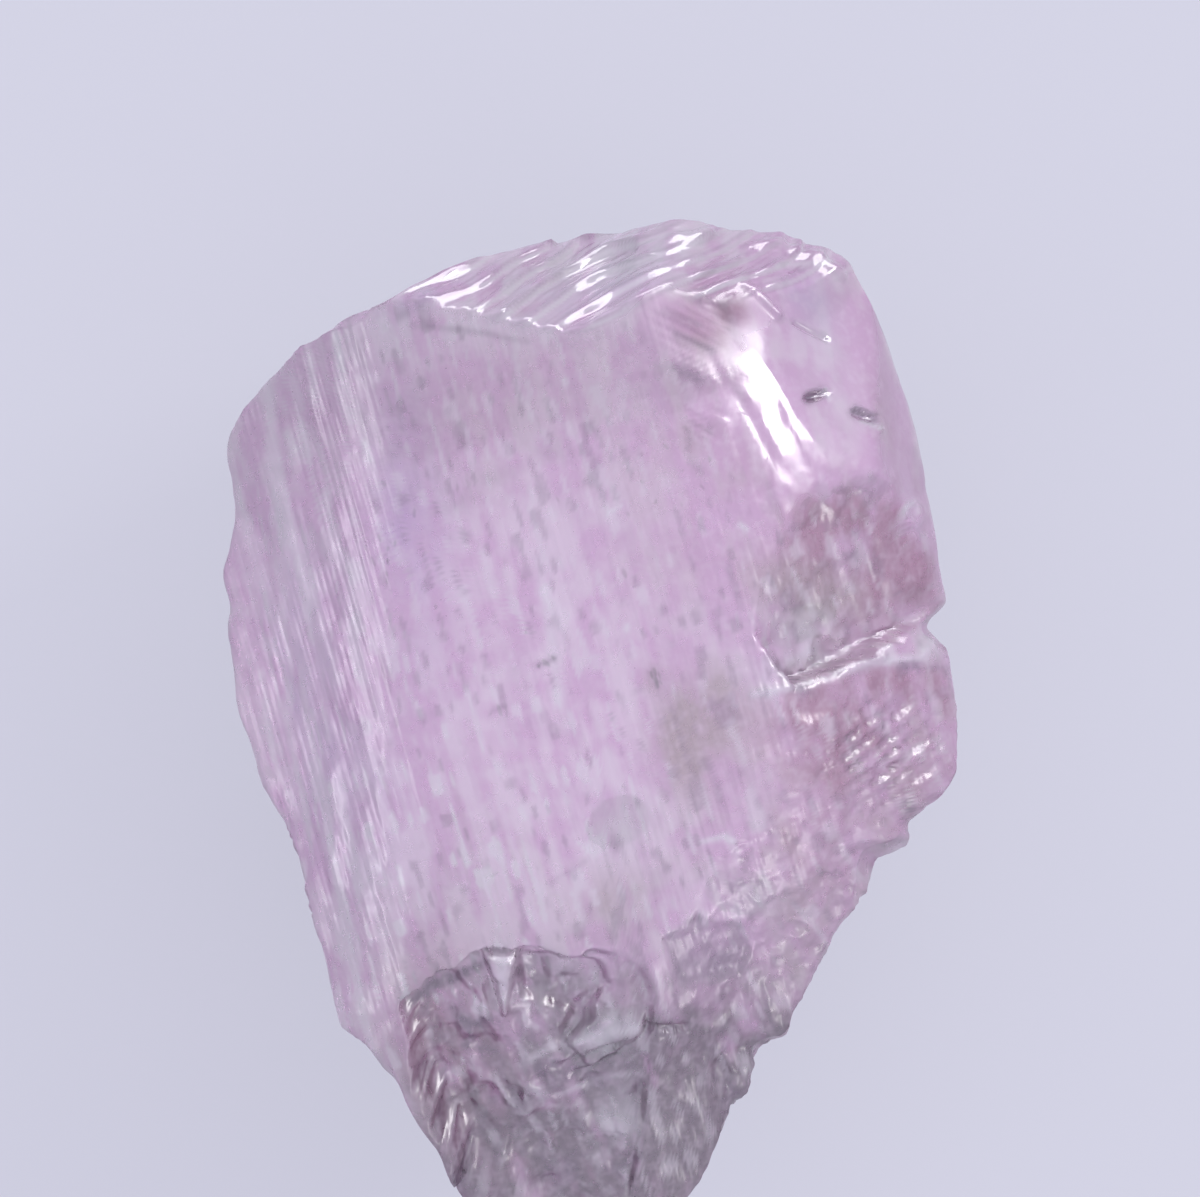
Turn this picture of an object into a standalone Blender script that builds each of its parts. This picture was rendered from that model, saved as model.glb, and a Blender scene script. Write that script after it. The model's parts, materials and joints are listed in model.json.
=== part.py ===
"""Rough diamond: one natural pink crystal, lying on the flat face of its back.

Metres, +Z up. The crystal's length runs along Y, blunt growth end at +Y and broken
end at -Y. Its broad front face looks up (+Z), and the striated side is at -X. The
origin is on the ground, under the middle of the crystal's outline.
"""

import math

import bmesh
import bpy
from mathutils import Matrix, Vector

# Driving dimensions, in millimetres
WIDTH = 2.92
LENGTH = 4.13
DEPTH = 2.30
ARRIS = 0.022
ARRIS_STEPS = 2
ARRIS_LEAST_ANGLE = 14.0

MM = 0.001
BLANK = 6.0
MERGE = 1e-6
SCOOP_DETAIL = 3

# Faces seen from the front: name, azimuth and elevation of the outward normal in
# degrees (azimuth 0 at +X, turning towards +Y), and a point that the face holds.
FRONT_FACES = (
    ("front left", 172, 86, (-0.10, 0.30, 2.30)),
    ("front right", -8, 83, (-0.05, 0.30, 2.30)),
    ("side shoulder", 180, 64, (-0.72, 0.50, 2.255)),
    ("striated side", 183, 40, (-0.80, 0.50, 2.27)),
    ("top cap", 93, 34, (-0.10, 1.66, 2.27)),
    ("cap shoulder", 62, 36, (0.36, 1.71, 2.24)),
    ("gloss ridge", 28, 64, (0.55, 1.33, 2.205)),
    ("upper right gloss", 31, 45, (0.62, 1.40, 2.21)),
    ("upper right edge", 11, 20, (1.13, 1.30, 1.83)),
    ("right side", -3, 46, (0.86, 0.30, 2.17)),
    ("lower right", -40, 47, (0.70, -0.55, 2.14)),
    ("broken front", -92, 63, (0.00, -0.98, 2.31)),
    ("broken right", -48, 40, (0.58, -1.05, 2.04)),
)

# Faces of the underside, in the same form. The rest face is level, at height 0.
BACK_FACES = (
    ("under left", 187, -38, (-1.38, 0.40, 0.80)),
    ("under upper left", 138, -40, (-1.12, 1.42, 0.95)),
    ("under top", 97, -44, (0.00, 1.93, 0.75)),
    ("under upper right", 42, -36, (1.04, 1.72, 0.80)),
    ("under right", -6, -36, (1.40, 0.35, 0.90)),
    ("under lower right", -46, -42, (0.98, -0.76, 0.90)),
    ("under broken end", -84, -50, (0.00, -1.88, 0.90)),
    ("under lower left", 212, -42, (-0.84, -1.18, 0.85)),
)

# The outline seen from above, clockwise from the upper left corner: x, y, and how
# far the wall below leans inwards, in degrees. Each wall runs to the next corner.
OUTLINE = (
    (-1.46, 1.14, 7),
    (-1.35, 1.38, 6),
    (-1.12, 1.58, 5),
    (-0.45, 1.90, 6),
    (0.16, 2.04, 8),
    (0.78, 2.02, 6),
    (1.06, 1.88, 7),
    (1.27, 1.36, 5),
    (1.46, 0.28, 8),
    (1.46, -0.14, 6),
    (1.12, -0.64, 9),
    (0.53, -1.70, 4),
    (0.31, -2.03, 5),
    (-0.20, -2.08, 5),
    (-0.60, -1.69, 5),
    (-0.98, -1.13, 5),
    (-1.33, -0.09, 7),
    (-1.46, 0.60, 6),
)

# Places where the front is broken away: name, azimuth and elevation of the floor's
# normal, a point on the floor, and the outline of the break seen from above.
POCKETS = (
    (
        "broken end",
        -90,
        60,
        (0.00, -0.86, 2.23),
        (
            (-0.76, -1.08),
            (-0.64, -0.98),
            (-0.43, -0.86),
            (-0.20, -0.85),
            (-0.03, -0.89),
            (0.20, -0.75),
            (0.43, -0.71),
            (0.61, -0.80),
            (0.64, -0.96),
            (0.60, -1.12),
            (0.80, -1.15),
            (1.20, -1.30),
            (0.90, -2.20),
            (-0.40, -2.20),
            (-0.50, -1.82),
            (-0.61, -1.60),
            (-0.70, -1.40),
        ),
    ),
    (
        "right middle",
        -17,
        47,
        (0.70, 0.75, 2.205),
        (
            (0.73, 1.05),
            (0.84, 1.08),
            (1.06, 1.03),
            (1.32, 0.95),
            (1.52, 0.79),
            (1.56, 0.56),
            (1.42, 0.53),
            (1.32, 0.44),
            (1.04, 0.29),
            (0.81, 0.20),
            (0.65, 0.40),
            (0.69, 0.72),
        ),
    ),
)

# Shell-shaped bites out of broken edges: centre and radius of each ball.
SCOOPS = (
    ("waist left", (-1.58, -0.76, 1.55), 0.54),
    ("right notch", (1.67, 0.45, 1.55), 0.28),
    ("lower right flake", (1.40, -0.67, 1.80), 0.34),
    ("lower right shell", (1.24, -1.46, 1.62), 0.60),
    ("end right shell", (0.82, -1.98, 1.45), 0.34),
    ("end left shell", (-0.62, -2.10, 1.30), 0.34),
)

PINK = (0.60, 0.45, 0.63, 1.0)
ROUGHNESS = 0.22
CLEARNESS = 0.75
DIAMOND_IOR = 2.417


def clear_scene():
    for old in list(bpy.data.objects):
        bpy.data.objects.remove(old)


def direction(azimuth, elevation):
    """The unit vector that points this way, both angles in degrees."""
    a = math.radians(azimuth)
    e = math.radians(elevation)
    return Vector((math.cos(a) * math.cos(e), math.sin(a) * math.cos(e), math.sin(e)))


def plane_height(x, y, azimuth, elevation, point):
    """Height over x, y of the plane that holds the point and has this normal."""
    normal = direction(azimuth, elevation)
    along = normal.x * (x - point[0]) + normal.y * (y - point[1])
    return point[2] - along / normal.z


def front_height(x, y):
    """Height of the front at this place: the lowest of the front faces' planes."""
    return min(plane_height(x, y, *face[1:]) for face in FRONT_FACES)


def rim_planes():
    """One plane under each edge of the outline, through its middle and leaning inwards."""
    planes = []
    for i, (x, y, lean) in enumerate(OUTLINE):
        next_x, next_y, _ = OUTLINE[(i + 1) % len(OUTLINE)]
        outward = math.degrees(math.atan2(next_x - x, y - next_y))
        middle_x = (x + next_x) / 2
        middle_y = (y + next_y) / 2
        middle = Vector((middle_x, middle_y, front_height(middle_x, middle_y)))
        planes.append((middle, direction(outward, -lean)))
    return planes


def cut(form, point, normal):
    """Takes away what lies outside a plane and closes the solid with a flat face."""
    everything = form.verts[:] + form.edges[:] + form.faces[:]
    made = bmesh.ops.bisect_plane(
        form,
        geom=everything,
        dist=MERGE,
        plane_co=point,
        plane_no=normal,
        clear_outer=True,
    )
    rim = [part for part in made["geom_cut"] if isinstance(part, bmesh.types.BMEdge)]
    if rim:
        bmesh.ops.contextual_create(form, geom=rim)


def fitted(form):
    """Moves and stretches the form to the driving dimensions, in metres."""
    low = Vector([min(v.co[i] for v in form.verts) for i in range(3)])
    high = Vector([max(v.co[i] for v in form.verts) for i in range(3)])
    middle = (low + high) / 2
    sides = high - low
    to_ground = Matrix.Translation((-middle.x, -middle.y, -low.z))
    stretch = Matrix.Diagonal(
        (WIDTH * MM / sides.x, LENGTH * MM / sides.y, DEPTH * MM / sides.z, 1)
    )
    return stretch @ to_ground


def crystal_material():
    material = bpy.data.materials.new("pink_diamond")
    material.use_nodes = True
    shader = material.node_tree.nodes["Principled BSDF"]
    shader.inputs["Base Color"].default_value = PINK
    shader.inputs["Roughness"].default_value = ROUGHNESS
    shader.inputs["Metallic"].default_value = 0.0
    shader.inputs["Transmission Weight"].default_value = CLEARNESS
    shader.inputs["IOR"].default_value = DIAMOND_IOR
    return material


def cutter_object(name, form, placing):
    """A closed helper shape that is taken away from the crystal, left out of the part."""
    form.transform(placing)
    bmesh.ops.recalc_face_normals(form, faces=form.faces)
    mesh = bpy.data.meshes.new(name)
    form.to_mesh(mesh)
    form.free()
    cutter = bpy.data.objects.new(name, mesh)
    cutter.hide_render = True
    cutter.display_type = "WIRE"
    return cutter


def scoop_cutter(name, centre, radius, placing):
    """A ball that bites a shell-shaped hollow."""
    form = bmesh.new()
    bmesh.ops.create_icosphere(form, subdivisions=SCOOP_DETAIL, radius=radius)
    bmesh.ops.translate(form, verts=form.verts, vec=centre)
    return cutter_object(name, form, placing)


def pocket_cutter(name, azimuth, elevation, point, outline, placing):
    """A prism that stands on a sloping floor and reaches up past the front."""
    form = bmesh.new()
    floor = []
    for x, y in outline:
        height = plane_height(x, y, azimuth, elevation, point)
        floor.append(form.verts.new((x, y, height)))
    roof = [form.verts.new((v.co.x, v.co.y, BLANK / 2)) for v in floor]
    form.faces.new(floor)
    form.faces.new(roof)
    for i, corner in enumerate(floor):
        last = i - 1
        form.faces.new((floor[last], corner, roof[i], roof[last]))
    return cutter_object(name, form, placing)


def crystal():
    """The crystal: a block cut face by face, then chipped, then its arrises softened."""
    form = bmesh.new()
    bmesh.ops.create_cube(form, size=BLANK)
    cut(form, Vector((0, 0, 0)), Vector((0, 0, -1)))
    for _, azimuth, elevation, point in FRONT_FACES + BACK_FACES:
        cut(form, Vector(point), direction(azimuth, elevation))
    for point, normal in rim_planes():
        cut(form, point, normal)
    placing = fitted(form)
    form.transform(placing)
    bmesh.ops.recalc_face_normals(form, faces=form.faces)
    mesh = bpy.data.meshes.new("rough_diamond")
    form.to_mesh(mesh)
    form.free()
    mesh.materials.append(crystal_material())
    stone = bpy.data.objects.new("rough_diamond", mesh)
    bpy.context.scene.collection.objects.link(stone)

    cutters = bpy.data.collections.new("breaks")
    cutters.hide_render = True
    bpy.context.scene.collection.children.link(cutters)
    for pocket in POCKETS:
        cutters.objects.link(pocket_cutter(*pocket, placing))
    for scoop in SCOOPS:
        cutters.objects.link(scoop_cutter(*scoop, placing))
    chips = stone.modifiers.new("chips", "BOOLEAN")
    chips.operation = "DIFFERENCE"
    chips.operand_type = "COLLECTION"
    chips.collection = cutters

    arrises = stone.modifiers.new("arrises", "BEVEL")
    arrises.width = ARRIS * MM
    arrises.segments = ARRIS_STEPS
    arrises.limit_method = "ANGLE"
    arrises.angle_limit = math.radians(ARRIS_LEAST_ANGLE)
    return stone


clear_scene()
crystal()
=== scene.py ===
"""Rough diamond: the finish of one natural pink crystal that lies on a pale table.

The crystal is one star-shaped surface. From a point inside it, each ray of a grid is
followed out to the first natural face, break or chip that it meets. The relief of
each face (growth lines, terraces, pits, shell-shaped fractures) is then raised along
the surface's own normals. Lengths inside the shape functions are in millimetres, in
the part's own frame: +X right, +Y towards the blunt end, +Z out of the front face.
"""

import functools
import json
import math

import bpy
import numpy as np
from bpy.props import FloatProperty, FloatVectorProperty, IntProperty, PointerProperty
from mathutils import Matrix, Vector

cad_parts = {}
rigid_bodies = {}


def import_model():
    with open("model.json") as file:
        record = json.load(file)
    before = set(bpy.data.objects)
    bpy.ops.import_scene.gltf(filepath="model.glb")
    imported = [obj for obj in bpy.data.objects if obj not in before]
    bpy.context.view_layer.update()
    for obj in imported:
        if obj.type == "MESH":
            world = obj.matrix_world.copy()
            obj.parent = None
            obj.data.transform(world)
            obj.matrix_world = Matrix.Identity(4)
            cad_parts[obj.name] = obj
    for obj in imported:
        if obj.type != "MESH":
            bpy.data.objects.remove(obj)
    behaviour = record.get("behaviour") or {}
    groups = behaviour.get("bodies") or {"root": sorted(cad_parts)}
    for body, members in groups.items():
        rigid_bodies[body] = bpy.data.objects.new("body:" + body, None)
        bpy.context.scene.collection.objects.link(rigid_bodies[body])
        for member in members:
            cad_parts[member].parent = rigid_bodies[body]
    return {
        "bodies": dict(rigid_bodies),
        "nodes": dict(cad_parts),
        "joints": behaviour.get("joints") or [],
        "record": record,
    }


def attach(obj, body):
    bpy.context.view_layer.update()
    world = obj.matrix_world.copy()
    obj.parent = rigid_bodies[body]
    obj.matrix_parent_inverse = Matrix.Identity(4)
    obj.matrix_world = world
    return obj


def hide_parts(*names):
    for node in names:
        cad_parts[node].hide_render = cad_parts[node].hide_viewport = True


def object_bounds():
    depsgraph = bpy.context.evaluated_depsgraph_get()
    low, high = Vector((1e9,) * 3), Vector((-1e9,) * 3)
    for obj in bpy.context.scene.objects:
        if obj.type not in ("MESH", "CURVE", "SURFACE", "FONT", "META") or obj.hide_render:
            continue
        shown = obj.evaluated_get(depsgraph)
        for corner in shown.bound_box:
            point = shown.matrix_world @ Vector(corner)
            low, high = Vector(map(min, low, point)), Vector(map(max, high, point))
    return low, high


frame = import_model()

bl_info = {
    "name": "Rough Diamond",
    "version": (1, 0, 0),
    "blender": (4, 5, 0),
    "location": "View3D > Sidebar > Gem",
    "description": "Finishes one natural pink diamond crystal and sets up a studio for it",
    "category": "Add Mesh",
}

CAD_LOW, CAD_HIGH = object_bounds()

MM = 0.001
FAR = 99.0
TINY = 1e-4
DIAMOND_IOR = 2.417

# The point that every ray starts from, and how sharply faces meet
HEART = np.array((0.0, 0.10, 1.20))
ARRIS_SOFTNESS = 0.008

# Faces seen from the front: name, azimuth and elevation of the outward normal in
# degrees (azimuth 0 at +X, turning towards +Y), and a point that the face holds.
FRONT_FACES = (
    ("front left", 172, 86, (-0.10, 0.30, 2.30)),
    ("front right", -8, 83, (-0.05, 0.30, 2.30)),
    ("side shoulder", 180, 64, (-0.72, 0.50, 2.255)),
    ("striated side", 183, 40, (-0.80, 0.50, 2.27)),
    ("top cap", 93, 34, (-0.10, 1.66, 2.27)),
    ("cap shoulder", 62, 36, (0.36, 1.71, 2.24)),
    ("gloss ridge", 28, 64, (0.55, 1.33, 2.205)),
    ("upper right gloss", 31, 45, (0.62, 1.40, 2.21)),
    ("upper right edge", 11, 20, (1.13, 1.30, 1.83)),
    ("right side", -3, 46, (0.86, 0.30, 2.17)),
    ("lower right", -40, 47, (0.70, -0.55, 2.14)),
    ("broken front", -92, 63, (0.00, -0.98, 2.31)),
    ("broken right", -48, 40, (0.58, -1.05, 2.04)),
)

# Faces of the underside, in the same form. The rest face is level, at height 0.
BACK_FACES = (
    ("under left", 187, -38, (-1.38, 0.40, 0.80)),
    ("under upper left", 138, -40, (-1.12, 1.42, 0.95)),
    ("under top", 97, -44, (0.00, 1.93, 0.75)),
    ("under upper right", 42, -36, (1.04, 1.72, 0.80)),
    ("under right", -6, -36, (1.40, 0.35, 0.90)),
    ("under lower right", -46, -42, (0.98, -0.76, 0.90)),
    ("under broken end", -84, -50, (0.00, -1.88, 0.90)),
    ("under lower left", 212, -42, (-0.84, -1.18, 0.85)),
    ("rest", 0, -90, (0.00, 0.00, 0.00)),
)

# The outline seen from above, clockwise from the upper left corner: x, y, and how
# far the wall below leans inwards, in degrees. Each wall runs to the next corner.
OUTLINE = (
    (-1.46, 1.14, 7),
    (-1.35, 1.38, 6),
    (-1.12, 1.58, 5),
    (-0.45, 1.90, 6),
    (0.16, 2.04, 8),
    (0.78, 2.02, 6),
    (1.06, 1.88, 7),
    (1.27, 1.36, 5),
    (1.46, 0.28, 8),
    (1.46, -0.14, 6),
    (1.12, -0.64, 9),
    (0.53, -1.70, 4),
    (0.31, -2.03, 5),
    (-0.20, -2.08, 5),
    (-0.60, -1.69, 5),
    (-0.98, -1.13, 5),
    (-1.33, -0.09, 7),
    (-1.46, 0.60, 6),
)

# Places where the front is broken away: name, azimuth and elevation of the floor's
# normal, a point on the floor, and the outline of the break seen from above.
POCKETS = (
    (
        "broken end",
        -90,
        60,
        (0.00, -0.86, 2.23),
        (
            (-0.76, -1.08),
            (-0.64, -0.98),
            (-0.43, -0.86),
            (-0.20, -0.85),
            (-0.03, -0.89),
            (0.20, -0.75),
            (0.43, -0.71),
            (0.61, -0.80),
            (0.64, -0.96),
            (0.60, -1.12),
            (0.80, -1.15),
            (1.20, -1.30),
            (0.90, -2.20),
            (-0.40, -2.20),
            (-0.50, -1.82),
            (-0.61, -1.60),
            (-0.70, -1.40),
        ),
    ),
    (
        "right middle",
        -17,
        47,
        (0.70, 0.75, 2.205),
        (
            (0.73, 1.05),
            (0.84, 1.08),
            (1.06, 1.03),
            (1.32, 0.95),
            (1.52, 0.79),
            (1.56, 0.56),
            (1.42, 0.53),
            (1.32, 0.44),
            (1.04, 0.29),
            (0.81, 0.20),
            (0.65, 0.40),
            (0.69, 0.72),
        ),
    ),
)

# Shell-shaped bites out of broken edges: name, centre and radius of each ball.
SCOOPS = (
    ("waist left", (-1.58, -0.76, 1.55), 0.54),
    ("right notch", (1.67, 0.45, 1.55), 0.28),
    ("lower right flake", (1.40, -0.67, 1.80), 0.34),
    ("lower right shell", (1.24, -1.46, 1.62), 0.60),
    ("end right shell", (0.82, -1.98, 1.45), 0.34),
    ("end left shell", (-0.62, -2.10, 1.30), 0.34),
)

# The silhouette seen from above, clockwise from the upper left corner. The rim of the
# faceted crystal is drawn in or out to it, fading out towards the middle.
SILHOUETTE = (
    (-1.459, 1.170),
    (-1.446, 1.225),
    (-1.385, 1.318),
    (-1.140, 1.562),
    (-0.985, 1.661),
    (-0.828, 1.720),
    (-0.591, 1.838),
    (-0.355, 1.929),
    (-0.118, 1.984),
    (0.079, 2.016),
    (0.236, 2.047),
    (0.433, 2.065),
    (0.481, 2.035),
    (0.670, 2.016),
    (0.768, 2.024),
    (0.827, 1.976),
    (0.985, 1.937),
    (1.072, 1.838),
    (1.182, 1.622),
    (1.241, 1.424),
    (1.300, 1.228),
    (1.340, 0.991),
    (1.399, 0.676),
    (1.423, 0.540),
    (1.400, 0.505),
    (1.330, 0.478),
    (1.345, 0.440),
    (1.426, 0.361),
    (1.442, 0.270),
    (1.459, -0.108),
    (1.425, -0.199),
    (1.345, -0.262),
    (1.273, -0.312),
    (1.255, -0.350),
    (1.285, -0.400),
    (1.255, -0.435),
    (1.131, -0.470),
    (1.111, -0.605),
    (0.985, -0.762),
    (0.905, -0.900),
    (0.863, -0.983),
    (0.812, -1.074),
    (0.790, -1.184),
    (0.666, -1.215),
    (0.650, -1.330),
    (0.634, -1.381),
    (0.565, -1.400),
    (0.607, -1.499),
    (0.504, -1.665),
    (0.462, -1.736),
    (0.430, -1.880),
    (0.300, -2.010),
    (0.020, -2.030),
    (-0.200, -2.047),
    (-0.400, -1.960),
    (-0.532, -1.795),
    (-0.600, -1.640),
    (-0.709, -1.491),
    (-0.765, -1.360),
    (-0.867, -1.255),
    (-0.915, -1.180),
    (-0.985, -1.150),
    (-1.000, -1.040),
    (-1.060, -0.802),
    (-1.158, -0.427),
    (-1.250, -0.250),
    (-1.328, -0.089),
    (-1.387, 0.089),
    (-1.411, 0.242),
    (-1.438, 0.557),
    (-1.459, 0.664),
    (-1.405, 0.892),
)
RIM_PARTS = 360
RIM_FADE = 0.80
RIM_CHANGE = (0.92, 1.07)

# The top cap's upper edge, seen from above, from left to right
CAP_EDGE = (
    (-1.40, 1.70),
    (-0.83, 1.696),
    (-0.68, 1.690),
    (-0.43, 1.657),
    (-0.23, 1.617),
    (-0.07, 1.590),
    (0.07, 1.620),
    (0.21, 1.705),
    (0.36, 1.745),
    (0.52, 1.790),
    (0.70, 1.93),
    (0.90, 2.10),
)
CAP_ROUNDS = 5
CAP_ROUNDING = 6
CAP_SPACING = 0.078

# Faces that meet in worn, rounded arrises, and how round those are
WORN_FACES = (
    "front left",
    "front right",
    "side shoulder",
    "striated side",
    "gloss ridge",
    "right side",
    "lower right",
    "broken front",
    "broken right",
)
WORN_SOFTNESS = 0.065

# Rows and columns of the ray grid: the lid over the front, then the belt round the
# sides. The zones are places from -1 to 1 where the lid's lines lie closer together.
LID_COLUMNS = 216
LID_ROWS = 316
COLUMN_ZONES = ((-1.0, -0.62, 1.25), (0.40, 0.75, 1.2))
ROW_ZONES = ((-0.95, -0.36, 1.15), (0.76, 1.0, 3.2))
UPPER_ROWS = 10
LOWER_ROWS = 38
BELT_BULGE = 1.02
BELT_KNEE = 0.55
BELT_FOOT = 0.34

# The breaks' ragged outlines: how far they wander and how wide their walls are
BREAK_RAGGED = 0.030
BREAK_WALL = 0.016
RIM_FLOOR = 1.0

# Growth lines run down to the right, the cap's steps and the gloss ridge's crests
# run at their own angles. All are in degrees from +X.
GROWTH_ANGLE = -74.0
CAP_ANGLE = 28.0
RIDGE_ANGLE = -62.0
LINE_TILT = 0.25

# Short rows of tiny steps beside the glossy corner: centre and half-sizes
COMBS = (
    ((0.42, 1.64), (0.13, 0.10)),
    ((0.39, 1.46), (0.09, 0.06)),
    ((0.47, 1.25), (0.09, 0.08)),
)

# Etch pits on the glossy corner: centre, half-sizes, turn, depth
PITS = (
    ((0.890, 1.365), (0.055, 0.026), 12.0, 0.030),
    ((1.087, 1.287), (0.068, 0.024), -20.0, 0.026),
    ((1.147, 1.225), (0.016, 0.014), 0.0, -0.016),
    ((0.97, 0.98), (0.030, 0.014), -30.0, 0.012),
)

# Fine raised or sunken lines: path, width, rise
SCRATCHES = (
    (((0.812, 1.653), (0.934, 1.594)), 0.010, -0.016),
    (((0.445, 1.755), (0.512, 1.787), (0.583, 1.803), (0.65, 1.771), (0.741, 1.684)), 0.016, 0.022),
    (((0.22, -1.14), (0.38, -1.135)), 0.012, -0.035),
    (((-0.10, -1.29), (0.06, -1.21), (0.20, -1.17)), 0.009, -0.020),
    (((-0.07, -1.34), (0.10, -1.26)), 0.009, -0.020),
    (((0.78, 1.94), (0.90, 1.91), (1.00, 1.84)), 0.020, 0.018),
    (((0.62, 1.95), (0.76, 1.97)), 0.016, 0.014),
    (((0.20, 1.95), (0.33, 1.99), (0.46, 2.00)), 0.022, 0.020),
)
CURL = (1.273, 0.904)
LEDGE = ((0.646, 0.187), (0.847, 0.223), (1.111, 0.313), (1.312, 0.329), (1.426, 0.487))

# Flat-topped splinters and dips on the broken end: outline, rise
SPLINTERS = (
    (((-0.42, -0.84), (-0.29, -0.84), (-0.34, -1.07)), 0.085),
    (((-0.29, -0.86), (0.02, -0.88), (0.07, -0.98), (-0.03, -1.10), (-0.27, -1.02)), -0.045),
    (((-0.10, -1.20), (0.03, -1.08), (0.21, -1.08), (0.20, -1.17), (0.00, -1.29)), 0.055),
    (
        (
            (0.29, -0.78),
            (0.39, -0.75),
            (0.426, -0.68),
            (0.45, -0.74),
            (0.59, -0.73),
            (0.64, -0.84),
            (0.60, -0.93),
            (0.35, -0.97),
        ),
        -0.020,
    ),
)

# The crystal's tints: name, colour, and where each lies as soft ovals by centre,
# half-sizes, turn and strength. Each tint goes over those before it. The mauve tint is
# partly painted shade, and the darkest tint is painted shade over the broken end.
TINTS = (
    (
        "violet",
        (0.67, 0.41, 0.75),
        (
            ((-0.72, 0.95), (0.16, 0.55), 5.0, 0.45),
            ((-1.05, 0.10), (0.20, 0.70), 15.0, 0.30),
            ((0.87, 1.72), (0.09, 0.14), 20.0, 0.55),
            ((-0.05, 1.80), (0.30, 0.12), 15.0, 0.55),
            ((-0.60, 1.76), (0.20, 0.05), 20.0, 0.55),
        ),
    ),
    (
        "stain",
        (0.53, 0.41, 0.42),
        (
            ((0.47, 0.14), (0.15, 0.15), -20.0, 1.00),
            ((0.37, -0.03), (0.11, 0.16), 10.0, 0.95),
            ((0.25, 0.25), (0.04, 0.05), 0.0, 0.50),
            ((0.88, 0.62), (0.22, 0.15), 0.0, 0.90),
            ((1.12, 0.58), (0.16, 0.06), 10.0, 0.85),
            ((0.72, -0.40), (0.10, 0.12), 0.0, 0.35),
            ((0.85, -0.72), (0.25, 0.30), 0.0, 0.35),
            ((0.10, -0.62), (0.16, 0.16), 0.0, 0.40),
            ((0.15, -1.02), (0.10, 0.10), 0.0, 0.50),
        ),
    ),
    # Mauve, partly real tone and partly painted shade: the shaded hollow on the right, the hollow beside the
    # cap and the broken end.
    (
        "mauve_and_painted_shade",
        (0.46, 0.20, 0.32),
        (
            ((1.12, 0.87), (0.24, 0.15), 5.0, 1.15),
            ((1.22, 0.70), (0.14, 0.17), 15.0, 0.90),
            ((0.90, 0.82), (0.16, 0.20), 0.0, 0.45),
            ((1.36, 0.66), (0.07, 0.34), 8.0, 0.80),
            ((1.12, 0.52), (0.20, 0.10), 30.0, 0.45),
            ((1.22, 0.24), (0.26, 0.07), -5.0, 0.55),
            ((0.57, 1.72), (0.06, 0.08), 0.0, 0.65),
            ((0.93, 0.10), (0.22, 0.16), 0.0, 0.60),
            ((1.15, 0.00), (0.30, 0.25), 0.0, 0.45),
            ((1.41, 0.02), (0.05, 0.25), 0.0, 0.45),
            ((-0.50, -1.30), (0.22, 0.40), 20.0, 0.85),
            ((0.42, -1.26), (0.22, 0.14), 15.0, 0.75),
            ((-0.45, 1.30), (0.50, 0.36), 0.0, 0.20),
            ((0.40, 1.00), (0.35, 0.50), 0.0, 0.34),
            ((0.95, -0.35), (0.45, 0.40), 0.0, 0.40),
            ((1.20, 1.25), (0.08, 0.45), 15.0, 0.35),
            ((0.00, -1.60), (0.60, 0.32), 0.0, 0.80),
            ((0.98, 1.42), (0.20, 0.32), 15.0, 0.12),
            ((0.46, 1.66), (0.14, 0.12), -30.0, 0.45),
            ((0.60, -1.40), (0.24, 0.32), 0.0, 0.85),
        ),
    ),
    # Painted shade: darkens the broken end and its lower right.
    (
        "painted_shade",
        (0.19, 0.12, 0.17),
        (
            ((0.55, -1.42), (0.38, 0.36), 0.0, 1.25),
            ((0.00, -1.80), (0.75, 0.50), 0.0, 1.00),
            ((0.10, -1.32), (0.60, 0.26), 0.0, 0.80),
            ((-0.10, -0.96), (0.20, 0.09), 0.0, 0.45),
        ),
    ),
    (
        "haze",
        (0.90, 0.87, 0.90),
        (
            ((0.11, -0.33), (0.11, 0.13), 0.0, 0.60),
            ((0.61, -0.61), (0.13, 0.09), 0.0, 0.40),
            ((0.06, -1.16), (0.16, 0.08), 30.0, 0.60),
            ((0.11, -1.48), (0.09, 0.11), 0.0, 0.50),
            ((1.37, 0.37), (0.07, 0.07), 0.0, 0.50),
            ((0.85, 0.42), (0.20, 0.09), 10.0, 0.35),
            ((-0.83, -1.32), (0.05, 0.22), 35.0, 0.60),
            ((-0.35, -0.92), (0.04, 0.10), 0.0, 0.70),
            ((0.80, 0.30), (0.22, 0.05), 15.0, 0.50),
            ((0.95, 1.50), (0.13, 0.28), 15.0, 0.45),
            ((0.00, 1.86), (0.80, 0.13), 18.0, 0.60),
        ),
    ),
)
MILK = (
    ((-0.15, 0.40), (0.40, 0.85), -8.0, 0.55),
    ((-0.15, 0.45), (0.08, 0.50), -4.0, 0.45),
    ((0.20, -0.25), (0.45, 0.45), 0.0, 0.40),
    ((-0.30, -0.60), (0.35, 0.40), 0.0, 0.45),
    ((0.35, 0.95), (0.25, 0.30), 0.0, 0.25),
    ((0.55, -0.62), (0.20, 0.14), 0.0, 0.20),
    ((0.00, 1.85), (0.80, 0.20), 20.0, 1.10),
    ((-1.15, 0.45), (0.22, 0.70), 5.0, 0.95),
    ((-0.85, -0.65), (0.22, 0.55), 15.0, 0.75),
)
# Colour of the painted shade, and of the dark specks and flecks
SHADE_AND_FLECK_COLOUR = (0.20, 0.12, 0.20)
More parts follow.
